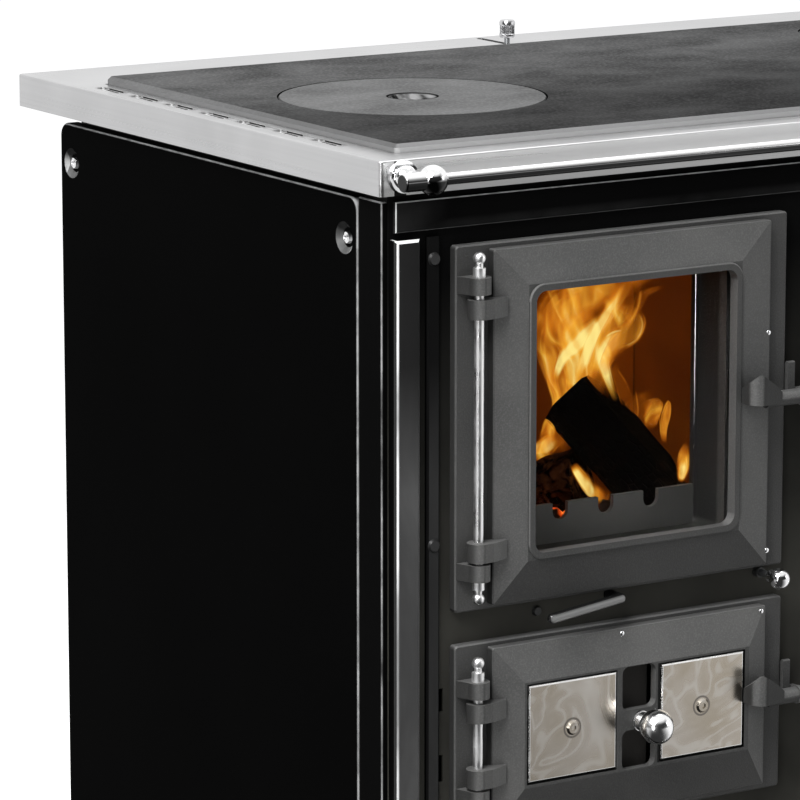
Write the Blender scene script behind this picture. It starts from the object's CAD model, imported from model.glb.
import math
import random

import bmesh
import bpy
from mathutils import Matrix, Vector, noise


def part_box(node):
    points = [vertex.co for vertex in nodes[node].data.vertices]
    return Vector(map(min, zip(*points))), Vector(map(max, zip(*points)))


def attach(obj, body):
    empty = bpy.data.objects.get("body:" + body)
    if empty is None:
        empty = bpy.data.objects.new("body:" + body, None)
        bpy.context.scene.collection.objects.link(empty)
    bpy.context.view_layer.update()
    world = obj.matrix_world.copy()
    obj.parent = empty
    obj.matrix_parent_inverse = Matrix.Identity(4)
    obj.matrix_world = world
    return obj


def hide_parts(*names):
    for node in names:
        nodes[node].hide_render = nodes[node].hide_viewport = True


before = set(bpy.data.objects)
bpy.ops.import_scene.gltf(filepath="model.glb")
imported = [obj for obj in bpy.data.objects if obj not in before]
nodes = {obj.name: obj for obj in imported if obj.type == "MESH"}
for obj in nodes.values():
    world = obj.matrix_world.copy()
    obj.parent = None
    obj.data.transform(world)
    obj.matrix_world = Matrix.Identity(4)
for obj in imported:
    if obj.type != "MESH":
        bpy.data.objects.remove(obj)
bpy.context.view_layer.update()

scene = bpy.context.scene


# ------------------------------------------------------------------ camera, floor and light
# The camera stands in front of the left corner, a little above the hob, with a long lens, as the
# photograph was taken. The floor is pale, and a large soft lamp hangs at the upper left.
scene.view_settings.view_transform = "Standard"

camera_data = bpy.data.cameras.new("camera")
camera_data.lens = 216.22
camera_data.sensor_width = 36
camera_data.clip_end = 60
camera = bpy.data.objects.new("camera", camera_data)
camera.location = (-2.4114, -3.4073, 1.4121)
camera.rotation_euler = (math.radians(78.4455), 0, math.radians(-32.1219))
scene.collection.objects.link(camera)
scene.camera = camera

WHITE = (1, 1, 1, 1)
TO_FAR_WALL = (0.53, 0.85, 0)


def node_value(tree, kind, settings, inputs):
    """Add a node of this kind, set it up, feed its inputs and return it."""
    made = tree.nodes.new(kind)
    for name, value in settings.items():
        setattr(made, name, value)
    for name, value in inputs.items():
        if isinstance(value, bpy.types.NodeSocket):
            tree.links.new(value, made.inputs[name])
        else:
            made.inputs[name].default_value = value
    return made


def seen_directly(tree):
    """1 where a camera, glossy or transmission ray meets the floor or the world, and 0 elsewhere."""
    rays = node_value(tree, "ShaderNodeLightPath", {}, {}).outputs
    first = node_value(tree, "ShaderNodeMath", {"operation": "MAXIMUM"},
                       {0: rays["Is Camera Ray"], 1: rays["Is Glossy Ray"]})
    second = node_value(tree, "ShaderNodeMath", {"operation": "MAXIMUM"},
                        {0: first.outputs[0], 1: rays["Is Transmission Ray"]})
    return second.outputs[0]


def room_level(tree, direction, shift):
    """How bright the room is in this direction: dark only on the photographer's side.

    A larger shift widens the dark side."""
    flat = node_value(tree, "ShaderNodeVectorMath", {"operation": "NORMALIZE"}, {0: direction})
    facing = node_value(tree, "ShaderNodeVectorMath", {"operation": "DOT_PRODUCT"},
                        {0: flat.outputs["Vector"], 1: TO_FAR_WALL})
    turned = node_value(tree, "ShaderNodeMath", {"operation": "SUBTRACT"},
                        {0: facing.outputs["Value"], 1: shift})
    level = node_value(tree, "ShaderNodeMapRange", {},
                       {"Value": turned.outputs[0], "From Min": -0.85, "From Max": -0.35,
                        "To Min": 0.03, "To Max": 1.0})
    return level.outputs["Result"]


def world_light():
    """Soft light all round, and white or the dark side of the room where it is seen."""
    world = bpy.data.worlds.new("studio")
    world.use_nodes = True
    tree = world.node_tree
    soft = tree.nodes["Background"]
    soft.inputs["Color"].default_value = (0.95, 0.97, 1, 1)
    soft.inputs["Strength"].default_value = 0.3
    direction = node_value(tree, "ShaderNodeTexCoord", {}, {}).outputs["Generated"]
    split = node_value(tree, "ShaderNodeSeparateXYZ", {}, {0: direction})
    above = node_value(tree, "ShaderNodeMapRange", {},
                       {"Value": split.outputs[2], "From Min": 0.5, "From Max": 0.75})
    raised = node_value(tree, "ShaderNodeMapRange", {},
                        {"Value": split.outputs[2], "From Min": 0.0, "From Max": 0.1,
                         "To Max": 0.42})
    around = room_level(tree, direction, raised.outputs["Result"])
    level = node_value(tree, "ShaderNodeMath", {"operation": "MAXIMUM"},
                       {0: around, 1: above.outputs["Result"]})
    glossy = node_value(tree, "ShaderNodeLightPath", {}, {}).outputs["Is Glossy Ray"]
    strength = node_value(tree, "ShaderNodeMix", {},
                          {"Factor": glossy, "A": 1.0, "B": level.outputs[0]})
    white = node_value(tree, "ShaderNodeBackground", {},
                       {"Color": WHITE, "Strength": strength.outputs["Result"]})
    choice = node_value(tree, "ShaderNodeMixShader", {},
                        {0: seen_directly(tree), 1: soft.outputs[0], 2: white.outputs[0]})
    tree.links.new(choice.outputs[0], tree.nodes["World Output"].inputs["Surface"])
    scene.world = world


def floor():
    """A wide pale disc, white where it is seen, and in reflections as bright as the room."""
    mesh = bpy.data.meshes.new("floor")
    shape = bmesh.new()
    bmesh.ops.create_circle(shape, cap_ends=True, segments=64, radius=20)
    shape.to_mesh(mesh)
    shape.free()
    plane = bpy.data.objects.new("floor", mesh)
    scene.collection.objects.link(plane)
    material = bpy.data.materials.new("pale_floor")
    material.use_nodes = True
    tree = material.node_tree
    shader = tree.nodes["Principled BSDF"]
    shader.inputs["Base Color"].default_value = (0.82, 0.82, 0.81, 1)
    shader.inputs["Roughness"].default_value = 0.9
    shader.inputs["Specular IOR Level"].default_value = 0.0
    shader.inputs["Emission Color"].default_value = WHITE
    level = node_value(tree, "ShaderNodeMath", {"operation": "MULTIPLY"},
                       {0: seen_directly(tree), 1: 0.8})
    tree.links.new(level.outputs[0], shader.inputs["Emission Strength"])
    place = node_value(tree, "ShaderNodeTexCoord", {}, {}).outputs["Object"]
    mirrored = node_value(tree, "ShaderNodeEmission", {},
                          {"Color": WHITE, "Strength": room_level(tree, place, -0.08)})
    glossy = node_value(tree, "ShaderNodeLightPath", {}, {}).outputs["Is Glossy Ray"]
    choice = node_value(tree, "ShaderNodeMixShader", {},
                        {0: glossy, 1: shader.outputs[0], 2: mirrored.outputs[0]})
    tree.links.new(choice.outputs[0], tree.nodes["Material Output"].inputs["Surface"])
    mesh.materials.append(material)


def lamp(name, place, target, width, height, power):
    """A rectangular soft lamp in metres and watts, which faces its target."""
    data = bpy.data.lights.new(name, "AREA")
    data.shape = "RECTANGLE"
    data.size = width
    data.size_y = height
    data.energy = power
    thing = bpy.data.objects.new(name, data)
    thing.location = place
    aim = Vector(target) - Vector(place)
    thing.rotation_euler = aim.to_track_quat("-Z", "Y").to_euler()
    scene.collection.objects.link(thing)


world_light()
floor()
lamp("key", (-1.9, -1.05, 2.7), (0, -0.1, 0.7), 1.6, 1.6, 105)
lamp("top", (0.4, 0.6, 3.0), (0, 0, 0.8), 2.4, 2.0, 26)
lamp("strip", (-2.7, -1.9, 0.9), (-0.45, -0.3, 0.7), 0.3, 1.8, 12)
lamp("fill", (2.6, -2.6, 1.6), (0, 0, 0.5), 1.4, 1.4, 10)


# ------------------------------------------------------------------ plinth and feet
# Folded sheet plinth in satin black, on four black moulded levelling feet.
# The sheet's finish is fine-grained, and slightly duller where it has been handled.
def grey(level):
    """A neutral colour."""
    return (level, level, level)


class Finish:
    """A material on the Principled shader, with short ways to add nodes in object space."""

    def __init__(self, name, colour, roughness, metallic=0.0, specular=0.5):
        self.material = bpy.data.materials.new(name)
        self.material.use_nodes = True
        self.tree = self.material.node_tree
        self.shader = self.tree.nodes["Principled BSDF"]
        self.place = self.tree.nodes.new("ShaderNodeTexCoord")
        self.put("Base Color", (*colour, 1))
        self.put("Roughness", roughness)
        self.put("Metallic", metallic)
        self.put("Specular IOR Level", specular)

    def put(self, socket, value):
        """Set a socket of the shader to a value or to another node's output."""
        self.feed(self.shader.inputs[socket], value)

    def feed(self, socket, value):
        if isinstance(value, bpy.types.NodeSocket):
            self.tree.links.new(value, socket)
        else:
            socket.default_value = value

    def stretched(self, factors, centre=(0, 0, 0), output="Object"):
        """Object coordinates or the piece's own map, scaled per axis about a centre."""
        mapping = self.tree.nodes.new("ShaderNodeMapping")
        mapping.inputs["Scale"].default_value = factors
        mapping.inputs["Location"].default_value = [-c * f for c, f in zip(centre, factors)]
        self.tree.links.new(self.place.outputs[output], mapping.inputs["Vector"])
        return mapping.outputs["Vector"]

    def distance(self, centre, factors):
        """How far a point is from a centre, along the axes whose factor is 1."""
        made = self.tree.nodes.new("ShaderNodeVectorMath")
        made.operation = "LENGTH"
        self.feed(made.inputs[0], self.stretched(factors, tuple(centre)))
        return made.outputs["Value"]

    def noise(self, scale, detail=3.0, factors=(1, 1, 1), distortion=0.0):
        """An uneven factor, mostly from 0.3 to 0.7."""
        made = self.tree.nodes.new("ShaderNodeTexNoise")
        made.inputs["Scale"].default_value = scale
        made.inputs["Detail"].default_value = detail
        made.inputs["Distortion"].default_value = distortion
        self.feed(made.inputs["Vector"], self.stretched(factors))
        return made.outputs["Fac"]

    def math(self, operation, first, second=0.0):
        made = self.tree.nodes.new("ShaderNodeMath")
        made.operation = operation
        self.feed(made.inputs[0], first)
        self.feed(made.inputs[1], second)
        return made.outputs[0]

    def below(self, value, limit):
        """1 where the value is less than the limit, and 0 elsewhere."""
        return self.math("LESS_THAN", value, limit)

    def above(self, value, limit):
        """1 where the value is more than the limit, and 0 elsewhere."""
        return self.math("GREATER_THAN", value, limit)

    def size(self, value):
        """The number without its sign."""
        return self.math("ABSOLUTE", value)

    def gap(self, first, second):
        """How far apart two numbers are."""
        return self.size(self.math("SUBTRACT", first, second))

    def product(self, first, *others):
        """All these numbers multiplied."""
        for other in others:
            first = self.math("MULTIPLY", first, other)
        return first

    def largest(self, first, *others):
        """The largest of these numbers."""
        for other in others:
            first = self.math("MAXIMUM", first, other)
        return first

    def spread(self, value, low, high, from_low=0.3, from_high=0.7):
        """Map a factor onto a range of plain numbers."""
        made = self.tree.nodes.new("ShaderNodeMapRange")
        self.feed(made.inputs["Value"], value)
        made.inputs["From Min"].default_value = from_low
        made.inputs["From Max"].default_value = from_high
        made.inputs["To Min"].default_value = low
        made.inputs["To Max"].default_value = high
        return made.outputs["Result"]

    def blend(self, factor, first, second):
        """Mix two colours, each a triple or another node's output."""
        made = self.tree.nodes.new("ShaderNodeMix")
        made.data_type = "RGBA"
        self.feed(made.inputs["Factor"], factor)
        for socket, colour in ((made.inputs[6], first), (made.inputs[7], second)):
            self.feed(socket, (*colour, 1) if isinstance(colour, tuple) else colour)
        return made.outputs[2]

    def scaled(self, colour, factor):
        """A colour made lighter or darker by a factor."""
        made = self.tree.nodes.new("ShaderNodeVectorMath")
        made.operation = "SCALE"
        self.feed(made.inputs[0], colour)
        self.feed(made.inputs["Scale"], factor)
        return made.outputs[0]

    def ramp(self, factor, stops):
        """A colour ramp from a list of (position, colour)."""
        made = self.tree.nodes.new("ShaderNodeValToRGB")
        elements = made.color_ramp.elements
        while len(elements) < len(stops):
            elements.new(1.0)
        for element, (position, colour) in zip(elements, stops):
            element.position = position
            element.color = (*colour, 1)
        self.feed(made.inputs["Fac"], factor)
        return made.outputs["Color"]

    def bump(self, height, distance, strength=1.0):
        made = self.tree.nodes.new("ShaderNodeBump")
        made.inputs["Distance"].default_value = distance
        made.inputs["Strength"].default_value = strength
        self.feed(made.inputs["Height"], height)
        self.put("Normal", made.outputs["Normal"])

    def axis(self, index, output="Object"):
        """One axis of the object coordinates, the surface's own direction or the piece's map."""
        made = self.tree.nodes.new("ShaderNodeSeparateXYZ")
        self.tree.links.new(self.place.outputs[output], made.inputs[0])
        return made.outputs[index]

    def edges(self):
        """1 on bevels and rounded edges, and 0 on faces square to the stove."""
        sizes = [self.size(self.axis(index, "Normal")) for index in range(3)]
        return self.spread(self.largest(*sizes), 0.0, 1.0, 0.93, 0.78)

    def edge_line(self, up=1.0, down=0.1, left=1.0, right=0.3):
        """The mask of the bevels, weighted by the way that they face."""
        upward = self.spread(self.axis(2, "Normal"), down, up, -0.4, 0.2)
        sideways = self.spread(self.axis(0, "Normal"), left, right, -0.3, 0.3)
        worn = self.spread(self.noise(70, 5), 0.55, 1.0, 0.35, 0.6)
        return self.product(self.edges(), upward, sideways, worn)

    def on(self, *names):
        """Give this finish to CAD nodes."""
        for name in names:
            for own in nodes[name].material_slots:
                own.material = self.material


def satin_black():
    finish = Finish("satin_black_paint", grey(0.012), 0.3, specular=0.06)
    cloud = finish.noise(9, 4)
    finish.put("Base Color", finish.blend(cloud, grey(0.009), (0.016, 0.016, 0.015)))
    finish.put("Roughness", finish.spread(cloud, 0.24, 0.4))
    finish.bump(finish.noise(900, 2), 0.00004, 0.5)
    return finish


satin_black().on("plinth", "back_panel", "flue_box")

rubber = Finish("moulded_rubber", grey(0.025), 0.75, specular=0.3)
rubber.bump(rubber.noise(700, 2), 0.0001, 0.6)
rubber.on("feet")


# ------------------------------------------------------------------ chassis and hob carrier
# Welded inner frame of plain steel plate, painted dark with heat-proof paint like the oven and
# the drawer box. It shows only through the openings, with open doors or a pulled drawer.
def heat_paint():
    finish = Finish("heat_proof_paint", (0.06, 0.06, 0.062), 0.6, specular=0.25)
    cloud = finish.noise(14, 5)
    finish.put("Base Color", finish.blend(cloud, (0.035, 0.035, 0.036), (0.085, 0.083, 0.08)))
    finish.bump(finish.noise(350, 3), 0.0001, 0.5)
    return finish


heat_paint().on("chassis", "hob_carrier", "oven_box", "drawer_box")


# ------------------------------------------------------------------ enamelled outer sheets
# Side panels, corner posts, the strip under the frame, the drawer front and the soot door are
# steel sheet in gloss black enamel. The enamel is thin and bright along every folded edge.
BLACK = grey(0.0018)
CLOUDED = grey(0.003)


def black_enamel(name, deep, clouded, line_level, mask=None, haze=None):
    """Enamel clouded from one near-black to another, with pale lines along its bevels."""
    finish = Finish(name, deep, 0.1, specular=0.002)
    body = finish.blend(finish.noise(5, 3), deep, clouded)
    if haze:
        body = finish.blend(haze(finish), body, grey(0.02))
    line = finish.edge_line()
    if mask:
        line = finish.product(line, mask(finish))
    finish.put("Base Color", finish.blend(line, body, grey(line_level)))
    finish.put("Roughness", finish.spread(finish.noise(24, 4), 0.07, 0.16))
    finish.bump(finish.noise(160, 2), 0.00002, 0.5)
    return finish


def panel_edges(finish):
    """1 along the front, back and top edges of a side panel, and faint on its pressed dimples."""
    low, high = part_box("left_side_panel")
    margin = 0.012
    front = finish.below(finish.axis(1), low.y + margin)
    back = finish.above(finish.axis(1), high.y - margin)
    top = finish.above(finish.axis(2), high.z - margin)
    return finish.spread(finish.largest(front, back, top), 0.3, 1.0, 0, 1)


def uneven_line(finish):
    """A line that is bright in places and thin in others, along an upright corner."""
    return finish.spread(finish.noise(26, 6, (1, 1, 0.5)), 0.12, 1.0, 0.4, 0.62)


def haze_by_the_frame(finish):
    """A pale haze in the gloss near both ends of the strip and along its lower edge."""
    low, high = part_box("top_fascia")
    side = finish.size(finish.axis(0))
    end = finish.spread(side, 0.0, 1.0, high.x - 0.05, high.x - 0.012)
    foot = finish.spread(finish.axis(2), 0.6, 0.0, low.z + 0.004, low.z + 0.009)
    return finish.product(finish.largest(end, foot), finish.noise(40, 4))


black_enamel("panel_enamel", grey(0.001), BLACK, 0.5, panel_edges).on(
    "left_side_panel", "right_side_panel")
black_enamel("post_enamel", BLACK, CLOUDED, 0.6, uneven_line).on("front_posts")
black_enamel("gloss_enamel", BLACK, CLOUDED, 0.95, haze=haze_by_the_frame).on(
    "top_fascia", "drawer_front", "soot_door")


# ------------------------------------------------------------------ front sheet
# One black painted sheet behind the doors, bolted to the chassis. Pale ash dusts it low down,
# beside the ash door.
def dusty_black():
    finish = Finish("dusty_black_paint", BLACK, 0.5, specular=0.002)
    door_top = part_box("ash_door")[1].z
    dust = finish.spread(finish.axis(2), 0.0, 1.0, door_top + 0.3, door_top + 0.02)
    cloud = finish.spread(finish.noise(14, 5), 0.6, 1.0)
    dusty = finish.product(dust, cloud)
    finish.put("Base Color", finish.blend(dusty, grey(0.004), (0.042, 0.041, 0.036)))
    finish.bump(finish.noise(900, 2), 0.00004, 0.5)
    return finish


dusty_black().on("front_plate")


# ------------------------------------------------------------------ trim strips
# Raised upright strips beside the posts, enamelled like them, with wide bevels, and the lower
# folds of the front sheet. Downwards they mirror the pale floor, so the black turns to grey.
def strip_enamel():
    finish = Finish("strip_enamel", BLACK, 0.12, specular=0.002)
    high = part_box("trim_strips")[1]
    strip_width = 0.03
    ridge_in, ridge_half = 0.0025, 0.0009
    far_line_in, far_line_half = 0.0229, 0.0006
    upward = finish.axis(2, "Normal")
    across = finish.size(finish.axis(0))
    inward = finish.math("SUBTRACT", high.x, across)
    fold = finish.below(across, high.x - strip_width)

    height = finish.spread(finish.axis(2), 0.1, 1.0, high.z - 0.1, high.z - 0.2)
    cloud = finish.noise(22, 5, (1, 1, 0.25), 0.8)
    sheen = finish.product(height, finish.spread(cloud, 0.45, 1.0))
    body = finish.blend(sheen, grey(0.011), grey(0.08))
    body = finish.blend(fold, body, finish.blend(sheen, grey(0.005), grey(0.03)))
    bevel = finish.blend(fold, grey(0.03), grey(0.006))
    body = finish.blend(finish.edges(), body, bevel)
    turned = finish.largest(finish.size(finish.axis(0, "Normal")), upward)
    body = finish.blend(finish.above(turned, 0.9), body, grey(0.002))
    far_line = finish.below(finish.gap(inward, far_line_in), far_line_half)
    body = finish.blend(finish.product(far_line, height), body, grey(0.22))

    ridge = finish.below(finish.gap(inward, ridge_in), ridge_half)
    ridge = finish.product(ridge, finish.spread(finish.noise(9, 3), 0.25, 1.0, 0.4, 0.55))
    top = finish.product(finish.above(upward, 0.3), finish.below(upward, 0.9),
                         finish.math("SUBTRACT", 1.0, fold))
    finish.put("Base Color", finish.blend(finish.largest(ridge, top), body, grey(0.85)))
    finish.put("Roughness", finish.spread(cloud, 0.08, 0.2))
    finish.bump(finish.noise(160, 2), 0.00002, 0.5)
    return finish


strip_enamel().on("trim_strips")


# ------------------------------------------------------------------ screws and bolts outside
# Chrome pan-head screws hold the side panels, and black dome-headed bolts hold the front sheet.
# The rail, the handles, the hinge pins and the oven shelf are of chromed steel too.
def polished_chrome(name="polished_chrome", colour=(0.86, 0.86, 0.87), roughness=0.06,
                    uneven=0.4):
    finish = Finish(name, colour, roughness, metallic=1.0)
    finish.put("Roughness", finish.spread(finish.noise(60, 4), roughness * 0.6, roughness * 2))
    finish.bump(finish.noise(90, 3), 0.00002, uneven)
    return finish


chrome = polished_chrome()
chrome.on("side_screws", "rail_brackets", "riddling_knob", "drawer_handle",
          "oven_door_handle", "oven_shelf")
polished_chrome("satin_chrome", grey(0.95), roughness=0.3, uneven=0.03).on("hinge_pins")
polished_chrome("rubbed_chrome", grey(0.95), roughness=0.16).on("air_knob")
rail_chrome = polished_chrome("rail_chrome")
underside = rail_chrome.spread(rail_chrome.axis(2, "Normal"), 0.0, 1.0, 0.0, 0.4)
rail_chrome.put("Base Color", rail_chrome.blend(underside, grey(0.03), grey(0.97)))
rail_chrome.on("towel_rail")

bolt_black = Finish("bolt_black", grey(0.03), 0.4, metallic=0.5)
bolt_black.bump(bolt_black.noise(500, 2), 0.0001, 0.5)
bolt_black.on("front_fixings")


# ------------------------------------------------------------------ top frame
# Folded from 3 mm stainless sheet and brushed lengthwise: along the front and back margins the
# grain runs across the stove, and along the side margins it runs from front to back.
def pressed_vents(finish, tone):
    """Each vent is pressed down: bright inside, a dull line round it and a black slot in it."""
    low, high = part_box("top_frame")
    count, pitch = 7, 0.0593
    first_in, row_in = 0.107, 0.0185
    half_length, half_width = 0.0225, 0.0062
    slot_half_length, slot_half_width = 0.0125, 0.0055
    row_start = low.y + first_in - pitch / 2
    row = finish.math("DIVIDE", finish.math("SUBTRACT", finish.axis(1), row_start), pitch)
    along = finish.product(finish.math("SUBTRACT", finish.math("FRACT", row), 0.5), pitch)
    outward = finish.gap(finish.size(finish.axis(0)), high.x - row_in)
    among = finish.product(finish.above(row, 0.0), finish.below(row, count))

    long_part = finish.size(finish.math("DIVIDE", along, half_length))
    wide_part = finish.math("DIVIDE", outward, half_width)
    oval = finish.math("ADD", finish.math("POWER", long_part, 4.0),
                       finish.math("POWER", wide_part, 2.0))
    line = finish.product(among, finish.spread(finish.gap(oval, 1.1), 0.55, 0.0, 0.2, 0.45))
    tone = finish.blend(line, tone, grey(0.3))
    inside = finish.product(among, finish.spread(oval, 1.0, 0.0, 0.7, 0.9))
    middle = finish.spread(finish.gap(along, -0.002), 1.0, 0.0, 0.006, 0.012)
    tone = finish.blend(inside, tone, finish.blend(middle, grey(0.6), grey(1)))

    steep = finish.below(finish.size(finish.axis(2, "Normal")), 0.5)
    slot = finish.product(steep, finish.below(outward, slot_half_width),
                          finish.below(finish.size(along), slot_half_length))
    return finish.blend(slot, tone, grey(0.008))


def brushed_stainless():
    finish = Finish("brushed_stainless", (0.58, 0.58, 0.585), 0.3, metallic=1.0)
    across = finish.noise(70, 4, (0.06, 6, 6))
    along = finish.noise(70, 4, (6, 0.06, 6))
    hob_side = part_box("hob_plate")[1].x
    beside = finish.above(finish.size(finish.axis(0)), hob_side)
    grain = finish.blend(beside, across, along)
    cloud = finish.noise(7, 4, distortion=0.6)
    tone = finish.blend(grain, (0.5, 0.5, 0.505), (0.66, 0.66, 0.665))
    tone = finish.blend(finish.spread(cloud, 0, 0.4), tone, (0.4, 0.4, 0.405))
    forward = finish.below(finish.axis(1, "Normal"), -0.5)
    tone = finish.blend(finish.product(forward, 0.5), tone, grey(0.9))
    rise = finish.math("SUBTRACT", finish.axis(2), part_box("top_frame")[0].z)
    under_rail = finish.product(forward, finish.spread(rise, 1.0, 0.0, 0.006, 0.011))
    tone = finish.blend(under_rail, tone, grey(0.38))
    finish.put("Base Color", pressed_vents(finish, tone))
    finish.put("Roughness", finish.spread(grain, 0.26, 0.38))
    finish.bump(grain, 0.00003, 0.35)
    return finish


brushed_stainless().on("top_frame")


# ------------------------------------------------------------------ hob and its lids
# Ground grey cast iron with fine speckle, cloudy darker patches and faint grinding streaks, and a
# brighter machined edge. The two lids lie loose in their openings. They are turned and lighter,
# and dished round a slot for the lifting hook.
def lathe_dish(finish, tone):
    """The turned dish in the middle of the hob disc is streaked with light, with a dark lip."""
    low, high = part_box("hob_disc")
    dish_radius, lip_radius = 0.02, 0.0212
    reach = finish.distance((low + high) / 2, (1, 1, 0))
    dish = finish.spread(reach, 1.0, 0.0, dish_radius - 0.0005, dish_radius + 0.0005)
    shine = finish.spread(finish.noise(110, 2, (1, 0.2, 1)), 0.02, 0.6, 0.42, 0.62)
    tone = finish.blend(dish, tone, finish.scaled(grey(0.6), shine))
    lip = finish.spread(finish.gap(reach, lip_radius), 1.0, 0.0, 0.0006, 0.0014)
    return finish.blend(lip, tone, grey(0.008))


def ground_iron(name, dark, light, edge, worn):
    """Iron clouded between two grey levels, and darker by the factor worn at the front."""
    finish = Finish(name, grey(dark), 0.55, specular=0.0)
    cloud = finish.noise(12, 8, (1, 1.4, 1), 0.3)
    streak = finish.noise(30, 4, (0.15, 2.4, 1))
    speckle = finish.noise(380, 8)
    tone = finish.blend(finish.spread(cloud, 0, 1, 0.35, 0.65), grey(dark), grey(light))
    tone = finish.blend(finish.spread(streak, 0, 0.12), tone, grey(light))
    tone = finish.blend(finish.spread(speckle, 0.0, 0.17, 0.46, 0.64), tone, grey(edge))
    low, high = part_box("hob_plate")
    front = finish.spread(finish.axis(1), worn, 1.0, low.y + 0.12, low.y + 0.36)
    tone = lathe_dish(finish, finish.scaled(tone, front))

    edge_width = 0.008
    outer = finish.largest(finish.above(finish.size(finish.axis(0)), high.x - edge_width),
                           finish.below(finish.axis(1), low.y + edge_width))
    forward = finish.spread(finish.axis(1, "Normal"), 2.2, 1.0, -0.7, -0.3)
    rim = finish.scaled(grey(0.55 * edge), forward)
    side = finish.blend(outer, grey(0.006), rim)
    steep = finish.spread(finish.axis(2, "Normal"), 1.0, 0.0, 0.5, 0.93)
    finish.put("Base Color", finish.blend(steep, tone, side))
    finish.put("Roughness", finish.spread(speckle, 0.45, 0.7))
    finish.bump(speckle, 0.00012, 0.5)
    return finish


ground_iron("ground_hob_iron", 0.055, 0.105, 0.3, 0.45).on("hob_plate", "grate")
ground_iron("turned_lid_iron", 0.1, 0.15, 0.34, 1.0).on("hob_disc", "hob_plug")


# ------------------------------------------------------------------ damper
# A knurled chrome knob on a stem, which pushes a plain steel slide under the top frame.
# The riddling rod and the ash pan are of the same plain steel.
plain_steel = Finish("plain_steel", (0.4, 0.41, 0.42), 0.4, metallic=1.0)
plain_steel.bump(plain_steel.noise(260, 3), 0.00005, 0.5)
plain_steel.on("damper_slide", "riddling_rod", "ash_pan")


def damper_knob():
    """Straight-knurled grip between two plain rims, turned from bar and chromed.

    The profile runs up the knob in shares of its radius and height."""
    low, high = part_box("damper_knob")
    centre = (low + high) / 2
    radius = (high.x - low.x) / 2
    height = high.z - low.z
    teeth, cut = 32, 0.93
    profile = ((0, 0), (0.8, 0), (1, 0.1), (1, 0.2), (0.92, 0.24), (0.92, 0.68), (1, 0.72),
               (1, 0.88), (0.85, 1), (0, 1))
    shape = bmesh.new()
    points = [shape.verts.new((x * radius, 0, z * height)) for x, z in profile]
    lines = [shape.edges.new(pair) for pair in zip(points, points[1:])]
    bmesh.ops.spin(shape, geom=points + lines, cent=(0, 0, 0), axis=(0, 0, 1),
                   angle=math.tau, steps=teeth * 2, use_merge=True)
    bmesh.ops.remove_doubles(shape, verts=shape.verts, dist=1e-6)
    for vert in shape.verts:
        turn = math.atan2(vert.co.y, vert.co.x) * teeth / math.tau
        in_grip = 0.22 < vert.co.z / height < 0.7
        if in_grip and round(turn * 2) % 2:
            vert.co.xy *= cut
    bmesh.ops.recalc_face_normals(shape, faces=shape.faces)
    bmesh.ops.translate(shape, verts=shape.verts, vec=(centre.x, centre.y, low.z))
    return shape


def add_piece(name, shape, material, body, smooth=True):
    """Make an object of a finished shape, give it its finish and let it ride on a body."""
    mesh = bpy.data.meshes.new(name)
    shape.to_mesh(mesh)
    shape.free()
    mesh.materials.append(material)
    if smooth:
        mesh.shade_smooth()
        mesh.set_sharp_from_angle(angle=math.radians(35))
    piece = bpy.data.objects.new(name, mesh)
    scene.collection.objects.link(piece)
    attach(piece, body)
    return piece


knurled = polished_chrome("knurled_chrome", (0.62, 0.62, 0.63), roughness=0.22)
knob = add_piece("damper_knurled_knob", damper_knob(), knurled.material, "damper")
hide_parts("damper_knob")


# ------------------------------------------------------------------ cast doors and their frames
# Grey cast iron, blacked and fettled: a fine sand-cast grain all over, and lighter where hands
# and cloths have rubbed the edges. Each door hangs on pins through the ears of its frame.

# Half the side of the polished squares that sit in the ash door.
SQUARE_HALF = 0.042


def slope_shade(finish):
    """Blacking is thin on slopes that face up or sideways, and thick on those that face down."""
    across = finish.size(finish.axis(0, "Normal"))
    upward = finish.axis(2, "Normal")
    slope = 0.16
    tilt = finish.largest(across, finish.size(upward))
    return finish.product(finish.spread(upward, 0.5, 1.35, -slope, slope),
                          finish.spread(tilt, 0.77, 1.0, 0, slope),
                          finish.spread(across, 1.0, 1.25, 0, slope))


def flank_shade(finish):
    """The blacking stays thick on the flanks of the hinges and of the latch lugs."""
    hinge_width = 0.05
    lug_far, lug_near = 0.087, 0.042
    glass_depth = 0.0095
    sideways = finish.axis(0, "Normal")
    hinge_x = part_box("hinge_pins")[0].x + hinge_width
    at_hinge = finish.below(finish.axis(0), hinge_x)
    hinge = finish.product(at_hinge, finish.spread(sideways, 1.0, 0.0, -0.8, -0.5))
    door_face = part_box("fire_door_glass")[0].y - glass_depth
    handle_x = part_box("fire_latch_handle")[1].x
    at_lug = finish.product(finish.below(finish.axis(1), door_face),
                            finish.above(finish.axis(0), handle_x - lug_far),
                            finish.below(finish.axis(0), handle_x - lug_near))
    turn = finish.gap(sideways, -0.45)
    lug = finish.product(at_lug, finish.spread(turn, 0.0, 1.0, 0.46, 0.54))
    return finish.spread(finish.largest(hinge, lug), 1.0, 0.35, 0, 1)


def square_seats(finish):
    """The mask of the black gaps round the two squares of the ash door."""
    low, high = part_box("ash_door_plates")
    middle = (low + high) / 2
    half = (high - low) / 2
    play = 0.0018
    across = finish.gap(finish.axis(0), middle.x)
    from_centre = finish.gap(across, half.x - SQUARE_HALF)
    rise = finish.gap(finish.axis(2), middle.z)
    return finish.product(finish.below(from_centre, SQUARE_HALF + play),
                          finish.below(rise, half.z + play),
                          finish.spread(finish.axis(1), 0.0, 1.0, low.y + 0.0003, low.y + 0.0008))


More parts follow.
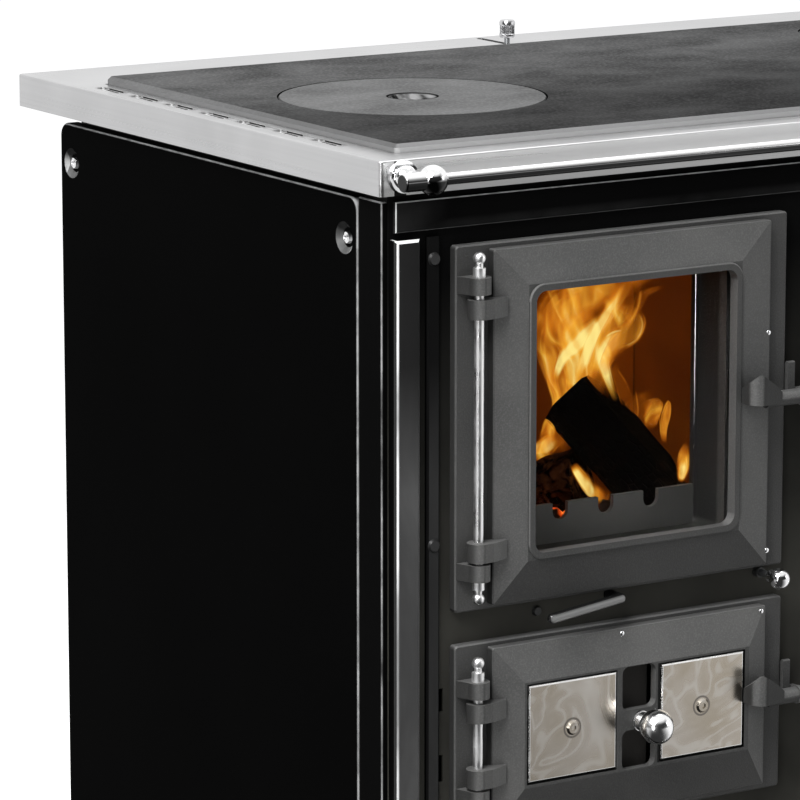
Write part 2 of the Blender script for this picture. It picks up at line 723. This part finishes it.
def door_iron():
    finish = Finish("blacked_cast_iron", grey(0.07), 0.5, specular=0.16)
    cloud = finish.noise(11, 5)
    grain = finish.noise(750, 3)
    tone = finish.blend(finish.spread(cloud, 0, 1), (0.06, 0.06, 0.059), (0.082, 0.081, 0.079))
    tone = finish.blend(finish.spread(grain, 0, 0.4, 0.45, 0.75), tone, (0.14, 0.14, 0.138))
    tone = finish.scaled(tone, slope_shade(finish))
    tone = finish.scaled(tone, flank_shade(finish))
    rubbed = finish.product(finish.edge_line(0.6, 0.2, 0.25, 0.3), 0.8)
    tone = finish.blend(rubbed, tone, (0.3, 0.3, 0.295))
    tone = finish.blend(square_seats(finish), tone, grey(0.004))
    throat_depth = 0.0285
    throat_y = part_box("fire_door_frame")[0].y + throat_depth
    sooty = finish.spread(finish.axis(1), 0.0, 0.75, throat_y, throat_y + 0.004)
    finish.put("Base Color", finish.blend(sooty, tone, grey(0.008)))
    finish.put("Roughness", finish.spread(grain, 0.42, 0.6))
    finish.bump(grain, 0.0004, 0.6)
    return finish


door_iron().on("fire_door_frame", "fire_door", "ash_door_frame", "ash_door", "oven_door_frame",
               "oven_door", "soot_door_frame", "fire_latch_handle", "ash_latch_handle",
               "latch_keepers", "flue_spigot")


# ------------------------------------------------------------------ door seals
# Braided glass-fibre rope, glued into the groove round the back of each of the two doors on the
# left. It seals the closed door against its frame.
def rounded_path(low, high, y, radius, steps=8):
    """Points round an upright rectangle with rounded corners."""
    corners = ((high.x, high.z, 0), (low.x, high.z, 1), (low.x, low.z, 2), (high.x, low.z, 3))
    points = []
    for x, z, quarter in corners:
        centre_x = x - radius if quarter in (0, 3) else x + radius
        centre_z = z - radius if quarter in (0, 1) else z + radius
        for step in range(steps + 1):
            turn = math.radians(90 * (quarter + step / steps))
            points.append(Vector((centre_x + radius * math.cos(turn), y,
                                  centre_z + radius * math.sin(turn))))
    return points


def rope_ring(node):
    """A closed braided tube: the sides of its section swell and shrink along its length."""
    low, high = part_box(node)
    radius = (high.y - low.y) / 2
    corner_radius, stitch = 0.006, 0.0025
    sides, strands, swelling = 10, 5, 0.07
    backward = Vector((0, 1, 0))
    inset = Vector((radius, 0, radius))
    corners = rounded_path(low + inset, high - inset, low.y + radius, corner_radius)
    points = []
    for start, end in zip(corners, corners[1:] + corners[:1]):
        count = max(1, round((end - start).length / stitch))
        points += [start.lerp(end, step / count) for step in range(count)]
    shape = bmesh.new()
    rings = []
    for index, point in enumerate(points):
        along = (points[(index + 1) % len(points)] - points[index - 1]).normalized()
        outward = along.cross(backward)
        lay = 1 if index % 2 else -1
        ring = []
        for side in range(sides):
            turn = math.tau * side / sides
            swell = 1 - swelling + swelling * math.cos(strands * turn) * lay
            arm = outward * math.cos(turn) + backward * math.sin(turn)
            ring.append(shape.verts.new(point + arm * radius * swell))
        rings.append(ring)
    for first, second in zip(rings, rings[1:] + rings[:1]):
        for side in range(sides):
            after = (side + 1) % sides
            shape.faces.new((first[side], first[after], second[after], second[side]))
    bmesh.ops.recalc_face_normals(shape, faces=shape.faces)
    return shape


glass_fibre = Finish("glass_fibre_rope", (0.3, 0.29, 0.27), 0.9, specular=0.1)
fibre = glass_fibre.noise(900, 3)
glass_fibre.put("Base Color", glass_fibre.blend(fibre, (0.2, 0.195, 0.18), (0.36, 0.35, 0.33)))
glass_fibre.bump(fibre, 0.0004, 0.7)
for rope_node, rope_body in (("fire_door_rope", "fire_door"), ("ash_door_rope", "ash_door")):
    seal = add_piece(f"braided_{rope_node}", rope_ring(rope_node), glass_fibre.material,
                     rope_body, smooth=False)
    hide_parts(rope_node)


# ------------------------------------------------------------------ air lever and log retainer
# The bent lever is a round bar in black, worn along its front. The retainer is a notched plate
# of grey heat-stained sheet that stands in the mouth of the firebox.
lever_black = Finish("lever_black", grey(0.016), 0.25, specular=0.5)
worn = lever_black.spread(lever_black.axis(1, "Normal"), 1.0, 0.0, -0.9, -0.55)
lever_black.put("Base Color", lever_black.blend(worn, grey(0.006), (0.15, 0.15, 0.148)))
lever_black.bump(lever_black.noise(300, 2), 0.00004, 0.5)
lever_black.on("air_lever")

retainer_grey = Finish("heat_stained_sheet", grey(0.1), 0.5, specular=0.2)
stain = retainer_grey.noise(12, 4)
retainer_grey.put("Base Color",
                  retainer_grey.blend(stain, (0.075, 0.076, 0.076), (0.12, 0.12, 0.118)))
retainer_grey.bump(retainer_grey.noise(500, 2), 0.00005, 0.5)
retainer_grey.on("log_retainer")


# ------------------------------------------------------------------ ash door squares
# Two squares of stainless sheet, hand-polished in swirls that run into each other round the
# screw in the middle, with bright bevelled edges.
def swirl_polish():
    finish = Finish("swirl_polished_steel", (0.6, 0.57, 0.53), 0.22, metallic=1.0)
    low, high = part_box("ash_door_plates")
    middle = (low + high) / 2
    half = (high - low) / 2
    screw_edge = 0.0078
    border_width = 0.0013
    across = finish.gap(finish.axis(0), middle.x)
    inward = finish.math("SUBTRACT", across, half.x - SQUARE_HALF)
    rise = finish.math("SUBTRACT", finish.axis(2), middle.z)
    reach = finish.math("SQRT", finish.math("ADD", finish.product(inward, inward),
                                            finish.product(rise, rise)))

    cloud = finish.noise(13, 2, distortion=1.6)
    phase = finish.math("ADD", finish.product(cloud, 46), finish.product(reach, 160))
    swirl = finish.spread(finish.math("SINE", phase), 0, 1, -1, 1)
    crest = finish.spread(swirl, 0.0, 1.0, 0.8, 1.0)
    patch = finish.spread(finish.noise(24, 3), 0.0, 1.0)
    tone = finish.blend(swirl, (0.5, 0.46, 0.41), (0.57, 0.53, 0.48))
    tone = finish.blend(patch, tone, finish.blend(swirl, (0.42, 0.37, 0.3), (0.49, 0.44, 0.37)))
    tone = finish.blend(finish.product(crest, 0.35), tone, (0.7, 0.68, 0.64))
    ring = finish.spread(finish.gap(reach, screw_edge), 1.0, 0.0, 0.0004, 0.0012)
    tone = finish.blend(ring, tone, (0.2, 0.18, 0.16))

    outer = finish.above(inward, SQUARE_HALF - border_width)
    inner_edge = finish.spread(finish.axis(0), 0.021, 0.024, middle.x - 0.001, middle.x + 0.001)
    inner = finish.below(across, finish.math("ADD", inner_edge, border_width))
    level = finish.above(finish.size(rise), half.z - border_width)
    border = finish.largest(outer, inner, level)
    finish.put("Base Color", finish.blend(border, tone, (0.95, 0.94, 0.92)))
    finish.put("Roughness", finish.spread(swirl, 0.2, 0.3, 0.0, 1.0))
    finish.bump(swirl, 0.00003, 0.2)
    return finish


swirl_polish().on("ash_door_plates")


# ------------------------------------------------------------------ door pins
# Small chromed pins are driven into the flat borders of the fire door and the ash door, and only
# their round heads show.
def pin_heads(door, places):
    """The heads, each at its place in from the door's right side and down from its top."""
    top_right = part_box(door)[1]
    border_ahead = 0.0028
    border_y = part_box("ash_door_plates")[1].y - border_ahead
    radius, rise = 0.0022, 0.0011
    shape = bmesh.new()
    for in_from_right, down in places:
        made = bmesh.ops.create_uvsphere(shape, u_segments=16, v_segments=8, radius=radius)
        bmesh.ops.scale(shape, verts=made["verts"], vec=(1, rise / radius, 1))
        bmesh.ops.translate(shape, verts=made["verts"],
                            vec=(top_right.x - in_from_right, border_y, top_right.z - down))
    return shape


for pinned_door, pin_places in (("fire_door", ((0.0305, 0.092), (0.029, 0.2745))),
                                ("ash_door", ((0.173, 0.003), (0.0335, 0.003)))):
    add_piece(f"{pinned_door}_pins", pin_heads(pinned_door, pin_places), chrome.material,
              pinned_door)


# ------------------------------------------------------------------ glass
# Clear ceramic glass in the fire door, and the same glass, smoked, in the oven door. Each pane
# lies in a recess behind its window.
def door_glass(name, colour, ior):
    finish = Finish(name, colour, 0.0)
    finish.put("Transmission Weight", 1.0)
    finish.put("IOR", ior)
    return finish


door_glass("fire_glass", (1, 0.99, 0.97), 1.05).on("fire_door_glass")
door_glass("oven_glass", (0.3, 0.3, 0.31), 1.4).on("oven_door_glass")


# ------------------------------------------------------------------ firebox
# Cast walls behind a lining of fire bricks, which glow brown where the fire lights them.
# Thin bright strips cover the joint between the door frame and the firebox.
sooty_cast = Finish("sooty_cast_iron", (0.03, 0.028, 0.026), 0.7, specular=0.1)
sooty_cast.bump(sooty_cast.noise(300, 3), 0.0002, 0.5)
sooty_cast.on("firebox_shell", "oven_tray", "air_shutter")

fire_low, fire_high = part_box("bricks")


def fire_brick():
    """Bricks that glow more high up and behind the first joint, and less in the joint itself."""
    finish = Finish("fire_brick", (0.06, 0.02, 0.002), 0.9, specular=0.0)
    cloud = finish.noise(9, 4, distortion=0.3)
    finish.put("Base Color", finish.blend(cloud, (0.02, 0.007, 0.001), (0.06, 0.02, 0.002)))
    first_brick = 0.087
    joint = fire_low.y + first_brick
    behind = finish.spread(finish.axis(1), 1.0, 1.5, joint - 0.0005, joint + 0.0005)
    seam = finish.spread(finish.gap(finish.axis(1), joint), 0.25, 1.0, 0.0006, 0.0016)
    low_down = finish.spread(finish.axis(2), 0.55, 1.0, fire_low.z + 0.06, fire_low.z + 0.2)
    finish.put("Emission Color", finish.blend(cloud, (1, 0.15, 0.0), (1, 0.2, 0.003)))
    finish.put("Emission Strength",
               finish.product(finish.spread(cloud, 0.038, 0.066), low_down, behind, seam))
    finish.bump(finish.noise(180, 4), 0.0003, 0.4)
    return finish


fire_brick().on("bricks")


def mouth_strips():
    """Two bright cover strips, one each side of the firebox mouth."""
    low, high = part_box("log_retainer")
    glass_low, glass_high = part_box("fire_door_glass")
    thick, wide = 0.0006, 0.003
    shape = bmesh.new()
    for x in (low.x - wide / 2, high.x + wide / 2):
        made = bmesh.ops.create_cube(shape, size=1)
        centre = Vector((x, low.y - thick / 2, (glass_low.z + glass_high.z) / 2))
        size = (wide, thick, glass_high.z - glass_low.z)
        bmesh.ops.scale(shape, vec=size, verts=made["verts"])
        bmesh.ops.translate(shape, vec=centre, verts=made["verts"])
    bmesh.ops.bevel(shape, geom=shape.edges, offset=0.0002, offset_type="OFFSET", segments=1,
                    profile=0.5, affect="EDGES", material=-1)
    return shape


add_piece("mouth_strips", mouth_strips(), chrome.material, "stove_body")


# ------------------------------------------------------------------ logs and fire
# A charred split log leans over a thicker one with its bark on, on a bed of glowing embers, and
# flames stand behind and between them. They lie loose on the grate, and nothing else holds them.
# A second, smaller fire burns further back on the left.

# Each fire is laid out in an upright plane: where it starts, its way along and its way back.
FRONT_FIRE = (Vector((-0.225, -0.144, 0.524)), Vector((0.622, -0.783, 0)),
              Vector((0.783, 0.622, 0)))
REAR_FIRE = (Vector((-0.335, 0.03, 0.524)), Vector((0.95, 0.31, 0)), Vector((-0.31, 0.95, 0)))
MILLIMETRE = 0.001


def in_fire(across, up, back=0.0, fire=FRONT_FIRE):
    """A place in the plane of a fire, or this far behind it, in millimetres."""
    start, way_along, way_back = fire
    shift = way_along * across + way_back * back + Vector((0, 0, up))
    return start + shift * MILLIMETRE


def rough(place, scale, amount):
    """A smooth uneven amount at this place."""
    return noise.noise(place * scale) * amount


def skin(shape, rows, closed, length=1.0):
    """Faces between rows of points, with a map that runs across from 0 to 1 and along them."""
    uv = shape.loops.layers.uv.verify()
    sides = len(rows[0]) if closed else len(rows[0]) - 1
    for row, (first, second) in enumerate(zip(rows, rows[1:])):
        for side in range(sides):
            after = (side + 1) % len(first)
            face = shape.faces.new((first[side], first[after], second[after], second[side]))
            places = ((side, row), (side + 1, row), (side + 1, row + 1), (side, row + 1))
            for loop, (u, v) in zip(face.loops, places):
                loop[uv].uv = (u / sides, v / (len(rows) - 1) * length)


def log_shape(start, end, section, bark):
    """A length of wood: its section, (across, deep) in millimetres, swept along its axis.

    Bark is how far the surface stands in and out, in metres."""
    axis = (end - start).normalized()
    way_back = FRONT_FIRE[2]
    deep = (way_back - axis * way_back.dot(axis)).normalized()
    across = deep.cross(axis)
    sides, lengths = 44, 46
    map_length = 0.12
    outline = []
    for index in range(sides):
        corner = index * len(section) / sides
        first = Vector(section[int(corner)])
        second = Vector(section[(int(corner) + 1) % len(section)])
        outline.append(first.lerp(second, corner % 1))
    shape = bmesh.new()
    rings = []
    for step in range(lengths + 1):
        share = step / lengths
        ring = []
        for point in outline:
            arm = (across * point.x + deep * point.y) * MILLIMETRE
            place = start.lerp(end, share) + arm
            grain = place - axis * place.dot(axis) * 0.8
            place += arm.normalized() * (rough(grain, 160, bark) + rough(place, 45, bark * 1.5))
            ring.append(shape.verts.new(place))
        rings.append(ring)
    skin(shape, rings, closed=True, length=(end - start).length / map_length)
    for ring in (rings[0], rings[-1]):
        centre = shape.verts.new(sum((vert.co for vert in ring), Vector()) / sides)
        for side in range(sides):
            shape.faces.new((ring[side], ring[(side + 1) % sides], centre))
    bmesh.ops.recalc_face_normals(shape, faces=shape.faces)
    return shape


def charred_wood():
    """Char cracked into blocks along the grain, with brown lines between them."""
    finish = Finish("charred_wood", (0.0015, 0.0013, 0.0012), 0.8, specular=0.02)
    cells = finish.tree.nodes.new("ShaderNodeTexVoronoi")
    cells.feature = "DISTANCE_TO_EDGE"
    cells.inputs["Scale"].default_value = 1.0
    cells.inputs["Randomness"].default_value = 0.6
    finish.feed(cells.inputs["Vector"], finish.stretched((38, 11, 1), output="UV"))
    crack = finish.spread(cells.outputs["Distance"], 1.0, 0.0, 0.02, 0.14)
    cloud = finish.noise(26, 4)
    far = finish.spread(finish.axis(1, "UV"), 0.0, 1.0, 0.25, 0.75)
    seen = finish.product(crack, finish.spread(cloud, 0.0, 0.6, 0.45, 0.62), far)
    finish.put("Base Color", finish.blend(seen, (0.0006, 0.0004, 0.0003), (0.05, 0.025, 0.012)))
    finish.bump(finish.math("SUBTRACT", cloud, crack), 0.0012, 0.8)
    return finish


def burning_bark():
    """Brown flaking bark, black between the flakes."""
    finish = Finish("burning_bark", (0.02, 0.01, 0.004), 0.85, specular=0.02)
    flakes = finish.noise(95, 6, distortion=1.2)
    patch = finish.noise(34, 3)
    tone = finish.blend(finish.spread(flakes, 0, 1, 0.42, 0.66), (0.001, 0.0007, 0.0005),
                        (0.13, 0.05, 0.014))
    finish.put("Base Color", finish.scaled(tone, finish.spread(patch, 0.15, 1.2, 0.38, 0.62)))
    finish.bump(flakes, 0.0014, 0.9)
    return finish


SPLIT_SECTION = ((28, -8), (8, -26), (-25, -20), (-27, 13), (0, 26), (19, 16))
ROUND_SECTION = ((30, 0), (21, 21), (0, 30), (-21, 21), (-30, 0), (-21, -21), (0, -30),
                 (21, -21))
FLAT_SECTION = ((27, 0), (20, 20), (0, 26), (-20, 18), (-27, 0), (-18, -20), (0, -25),
                (18, -20))
split_log = log_shape(in_fire(19, 86, 24), in_fire(115, -4, 11), SPLIT_SECTION, 0.0009)
add_piece("split_log", split_log, charred_wood().material, "stove_body")
bark_brown = burning_bark().material
bark_log = log_shape(in_fire(-64, -8, 14), in_fire(33, 14, 14), ROUND_SECTION, 0.003)
add_piece("bark_log", bark_log, bark_brown, "stove_body")
rear_log = log_shape(Vector((-0.316, -0.07, 0.535)), Vector((-0.2, 0.03, 0.565)),
                     FLAT_SECTION, 0.003)
add_piece("rear_log", rear_log, bark_brown, "stove_body")


def embers():
    """A heap of small burnt lumps on the grate, behind the retainer."""
    chance = random.Random(11)
    lumps = 150
    grate_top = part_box("grate")[1].z
    low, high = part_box("log_retainer")
    clear_side, clear_front = 0.012, 0.016
    heap_depth, heap_height = 0.2, 0.028
    shape = bmesh.new()
    for _ in range(lumps):
        size = chance.uniform(0.007, 0.014)
        x = chance.uniform(low.x + clear_side, high.x - clear_side)
        y = high.y + clear_front + chance.random() ** 1.3 * heap_depth
        z = grate_top + size + chance.random() * heap_height
        made = bmesh.ops.create_icosphere(shape, subdivisions=2, radius=size)
        for vert in made["verts"]:
            vert.co *= 1 + rough(vert.co + Vector((x, y, z)) * 9, 90, 0.35)
        bmesh.ops.translate(shape, verts=made["verts"], vec=(x, y, z))
    return shape


glowing = Finish("glowing_embers", (0.02, 0.015, 0.012), 0.9, specular=0.05)
heat = glowing.noise(75, 5, distortion=0.4)
glowing.put("Base Color", glowing.blend(heat, (0.012, 0.009, 0.008), (0.05, 0.03, 0.02)))
glowing.put("Emission Color", glowing.ramp(heat, [(0.42, (0.25, 0.012, 0.001)),
                                                  (0.55, (1, 0.1, 0.008)),
                                                  (0.68, (1, 0.36, 0.04))]))
cooler = glowing.spread(glowing.axis(0), 1.0, 0.0, fire_high.x - 0.105, fire_high.x - 0.085)
glowing.put("Emission Strength",
            glowing.product(cooler, glowing.spread(heat, 0.0, 1.2, 0.44, 0.66)))
glowing.bump(glowing.noise(400, 3), 0.0005, 0.6)
add_piece("embers", embers(), glowing.material, "stove_body")

# Each flame is how far it stands behind the plane, and (across, up, half width) from its root to
# its tip, all in millimetres.
FLAMES = (
    (20, ((4, 36, 11), (9, 58, 11), (14, 82, 8), (8, 103, 10), (4, 124, 12), (8, 141, 13),
          (17, 156, 14), (31, 166, 12), (48, 173, 9), (65, 184, 6), (85, 194, 2))),
    (16, ((24, 85, 7), (27, 102, 11), (26, 121, 15), (27, 138, 15), (34, 152, 11), (43, 163, 5))),
    (12, ((-3, 41, 4), (4, 60, 6), (10, 79, 4), (6, 97, 4), (3, 116, 3), (1, 128, 1))),
    (12, ((40, 92, 12), (47, 112, 9), (51, 134, 9), (56, 148, 11), (61, 162, 10), (68, 176, 8),
          (78, 188, 5), (89, 200, 2))),
    (8, ((51, 108, 4), (56, 124, 6), (65, 136, 8), (75, 144, 8), (82, 155, 6), (79, 164, 4),
         (73, 168, 2))),
    (30, ((66, 70, 7), (75, 80, 8), (83, 88, 5), (89, 93, 1))),
    (32, ((78, 64, 8), (87, 73, 9), (95, 80, 6), (102, 84, 2))),
    (28, ((-10, 132, 9), (5, 157, 15), (27, 172, 16), (57, 186, 13), (98, 199, 6))),
    (26, ((101, 50, 3), (101, 66, 5), (106, 80, 6), (111, 89, 4), (115, 94, 1))),
    (-2, ((122, 24, 3), (124, 37, 5), (125, 49, 4), (127, 59, 1))),
    (-12, ((32, 35, 3), (39, 25, 5), (48, 15, 6), (56, 7, 6), (54, -3, 3))),
    (4, ((-6, 32, 8), (5, 46, 8), (14, 52, 5), (19, 56, 1))),
    (10, ((70, 149, 3), (82, 171, 4), (89, 180, 3), (104, 186, 1))),
    (14, ((72, 84, 5), (66, 100, 5), (61, 112, 3), (65, 121, 1))),
)

# The bright cores of the main flame.
FLAME_CORES = (
    (12, ((27, 100, 3), (35, 123, 4), (42, 140, 5), (53, 156, 5), (65, 175, 4), (80, 199, 1))),
    (10, ((63, 87, 2), (55, 107, 4), (51, 123, 6), (59, 136, 8), (74, 143, 7), (79, 154, 6),
          (72, 163, 4), (61, 166, 1))),
    (12, ((-10, 30, 5), (-4, 40, 6), (4, 46, 5), (9, 53, 2))),
    (14, ((8, 100, 2), (14, 118, 4), (28, 132, 6), (40, 146, 5), (52, 160, 3))),
    (-4, ((123, 26, 2), (124, 36, 3), (126, 46, 1))),
    (-14, ((33, 32, 2), (41, 22, 4), (50, 12, 5), (57, 2, 4))),
)

# The fire further back, in its own plane.
REAR_FLAMES = (
    (0, ((18, 26, 10), (24, 55, 13), (20, 84, 14), (30, 112, 12), (46, 134, 10), (52, 160, 5),
         (60, 178, 1))),
    (6, ((46, 30, 10), (60, 52, 12), (62, 78, 12), (54, 100, 10), (60, 124, 6), (70, 140, 1))),
    (-4, ((78, 30, 8), (88, 48, 9), (86, 68, 7), (94, 86, 4), (100, 96, 1))),
    (-8, ((4, 24, 6), (0, 42, 7), (6, 60, 6), (4, 76, 3), (8, 86, 1))),
)


def curve_through(points, steps=6):
    """More points on a smooth curve through these points."""
    padded = [points[0], *points, points[-1]]
    made = []
    for stretch in zip(padded, padded[1:], padded[2:], padded[3:]):
        for step in range(steps):
            t = step / steps
            weights = (-0.5 * t + t * t - 0.5 * t ** 3, 1 - 2.5 * t * t + 1.5 * t ** 3,
                       0.5 * t + 2 * t * t - 1.5 * t ** 3, -0.5 * t * t + 0.5 * t ** 3)
            made.append(Vector([sum(weight * point[axis] for weight, point in zip(weights, stretch))
                                for axis in range(3)]))
    made.append(Vector(points[-1]))
    return made


def flame(shape, back, points, fire):
    """One thin curved sheet of fire, bowed away from the viewer at its edges."""
    spine = curve_through(points)
    strips, veil_width, bow = 10, 1.35, 4
    way_back = fire[2]
    rows = []
    for index, (across, up, half) in enumerate(spine):
        before, after = spine[max(index - 1, 0)], spine[min(index + 1, len(spine) - 1)]
        way = Vector((after.x - before.x, after.y - before.y)).normalized()
        row = []
        for strip in range(strips + 1):
            side = 2 * strip / strips - 1
            aside = side * half * veil_width
            place = in_fire(across + way.y * aside, up - way.x * aside, back + bow * side ** 2, fire)
            place += way_back * rough(place, 40, 0.004)
            row.append(shape.verts.new(place))
        rows.append(row)
    skin(shape, rows, closed=False)


def fire_glow(name, veil_share, thread_share, heat_from):
    """A clear orange veil of fire with brighter yellow threads that run up through it."""
    finish = Finish(name, (0, 0, 0), 1.0, specular=0.0)
    side = finish.gap(finish.axis(0, "UV"), 0.5)
    along = finish.axis(1, "UV")
    body = finish.spread(side, 1.0, 0.0, 0.22, 0.46)
    ends = finish.product(finish.spread(along, 0.0, 1.0, 0.0, 0.15),
                          finish.spread(along, 1.0, 0.0, 0.6, 1.0))
    cloud = finish.noise(26, 3, (1, 1, 0.4), 0.8)
    veil = finish.product(body, ends, finish.spread(cloud, 0.25, 1.0, 0.36, 0.56))
    wave = finish.noise(17, 2, (1, 1, 0.3), 1.8)
    thread = finish.spread(finish.gap(wave, 0.5), 1.0, 0.0, 0.0, 0.06)
    border = finish.product(finish.spread(finish.gap(side, 0.33), 1.0, 0.0, 0.0, 0.06),
                            finish.spread(finish.noise(45, 2), 0.0, 1.0, 0.42, 0.56))
    thread = finish.product(finish.largest(thread, border), ends)
    heat = finish.math("ADD", finish.product(veil, 0.5), finish.product(thread, 0.4))
    heat = finish.math("ADD", heat, heat_from)
    finish.put("Emission Color", finish.ramp(heat, [(0.05, (0.42, 0.085, 0.002)),
                                                    (0.35, (0.78, 0.22, 0.012)),
                                                    (0.65, (1, 0.46, 0.04)),
                                                    (1.0, (1, 0.8, 0.25))]))
    finish.put("Emission Strength", 1.0)
    finish.put("Alpha", finish.math("ADD", finish.product(veil, veil_share),
                                    finish.product(thread, thread_share)))
    return finish


outer_fire = fire_glow("flames", 0.62, 0.25, 0.0).material
inner_fire = fire_glow("flame_cores", 0.75, 0.3, 0.4).material
for flame_name, flame_list, flame_material, flame_place in (
        ("flames", FLAMES, outer_fire, FRONT_FIRE),
        ("flame_cores", FLAME_CORES, inner_fire, FRONT_FIRE),
        ("rear_flames", REAR_FLAMES, outer_fire, REAR_FIRE)):
    flames = bmesh.new()
    for flame_back, flame_points in flame_list:
        flame(flames, flame_back, flame_points, flame_place)
    add_piece(flame_name, flames, flame_material, "stove_body")


# ------------------------------------------------------------------ screws of the back panel
# The back panel is put on last. Plated pan-head screws hold it along both of its edges, in the
# chassis walls.
def back_screws():
    """Low domed heads with a cross recess cut in each."""
    low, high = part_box("back_panel")
    screws_a_side, from_side, from_end = 5, 0.014, 0.03
    radius, rise = 0.0055, 0.0024
    recess_half, recess_reach, sunk = 0.0007, 0.0032, 0.45
    run = high.z - low.z - 2 * from_end
    shape = bmesh.new()
    for x in (low.x + from_side, high.x - from_side):
        for step in range(screws_a_side):
            z = low.z + from_end + run * step / (screws_a_side - 1)
            made = bmesh.ops.create_uvsphere(shape, u_segments=24, v_segments=12, radius=radius)
            bmesh.ops.scale(shape, verts=made["verts"], vec=(1, rise / radius, 1))
            for vert in made["verts"]:
                in_cross = min(abs(vert.co.x), abs(vert.co.z)) < recess_half
                reach = math.hypot(vert.co.x, vert.co.z)
                if vert.co.y > 0 and in_cross and reach < recess_reach:
                    vert.co.y *= sunk
            bmesh.ops.translate(shape, verts=made["verts"], vec=(x, high.y, z))
    return shape


add_piece("back_screws", back_screws(), chrome.material, "stove_body")


# ------------------------------------------------------------------ thermometer
# Chrome case set in the oven door, with a white printed dial: a scale of strokes round the edge
# and plain numbers. A red needle turns over it.
case_low, case_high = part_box("thermometer")
DIAL_CENTRE = (case_low + case_high) / 2
DIAL_RADIUS = 0.0208

dial = Finish("dial_and_case", (0.82, 0.82, 0.8), 0.3)
outside = dial.above(dial.distance(DIAL_CENTRE, (1, 0, 1)), DIAL_RADIUS)
dial.put("Base Color", dial.blend(outside, (0.82, 0.82, 0.8), (0.86, 0.86, 0.87)))
dial.put("Metallic", outside)
dial.put("Roughness", dial.spread(outside, 0.4, 0.08, 0, 1))
dial.bump(dial.noise(400, 2), 0.00002, 0.3)
dial.on("thermometer")


def on_dial(turn, reach):
    """The place on the dial's face at this clockwise turn from the top, in degrees."""
    face_depth = 0.0031
    angle = math.radians(turn)
    return Vector((DIAL_CENTRE.x + reach * math.sin(angle), case_low.y + face_depth,
                   DIAL_CENTRE.z + reach * math.cos(angle)))


def dial_marks():
    """The scale of strokes and the plain numbers printed on the dial."""
    first, sweep = -124, 248
    strokes, long_every, stroke_end = 32, 4, 0.0188
    numbers = ("0", "100", "200", "300", "400")
    number_reach, number_height = 0.0122, 0.0046
    shape = bmesh.new()
    for stroke in range(strokes + 1):
        turn = first + sweep * stroke / strokes
        long_stroke = stroke % long_every == 0
        inner = 0.0158 if long_stroke else 0.0172
        half = 0.00022 if long_stroke else 0.00013
        angle = math.radians(turn)
        aside = Vector((math.cos(angle), 0, -math.sin(angle))) * half
        start, end = on_dial(turn, inner), on_dial(turn, stroke_end)
        corners = (start - aside, start + aside, end + aside, end - aside)
        shape.faces.new([shape.verts.new(corner) for corner in corners])
    for index, words in enumerate(numbers):
        curve = bpy.data.curves.new(f"number_{words}", "FONT")
        curve.body = words
        curve.size = number_height
        curve.align_x = "CENTER"
        curve.align_y = "CENTER"
        holder = bpy.data.objects.new(f"number_{words}", curve)
        scene.collection.objects.link(holder)
        printed = bpy.data.meshes.new_from_object(holder)
        bpy.data.objects.remove(holder)
        place = on_dial(first + sweep * index / (len(numbers) - 1), number_reach)
        printed.transform(Matrix.Translation(place) @ Matrix.Rotation(math.radians(90), 4, "X"))
        shape.from_mesh(printed)
    for face in shape.faces:
        face.normal_update()
        if face.normal.y > 0:
            face.normal_flip()
    return shape


print_black = Finish("print_black", grey(0.01), 0.5)
print_black.bump(print_black.noise(900, 2), 0.00001, 0.2)
add_piece("dial_marks", dial_marks(), print_black.material, "oven_door", smooth=False)

needle = Finish("needle_red", (0.5, 0.02, 0.015), 0.4)
needle.bump(needle.noise(500, 2), 0.00002, 0.3)
needle.on("thermometer_needle")
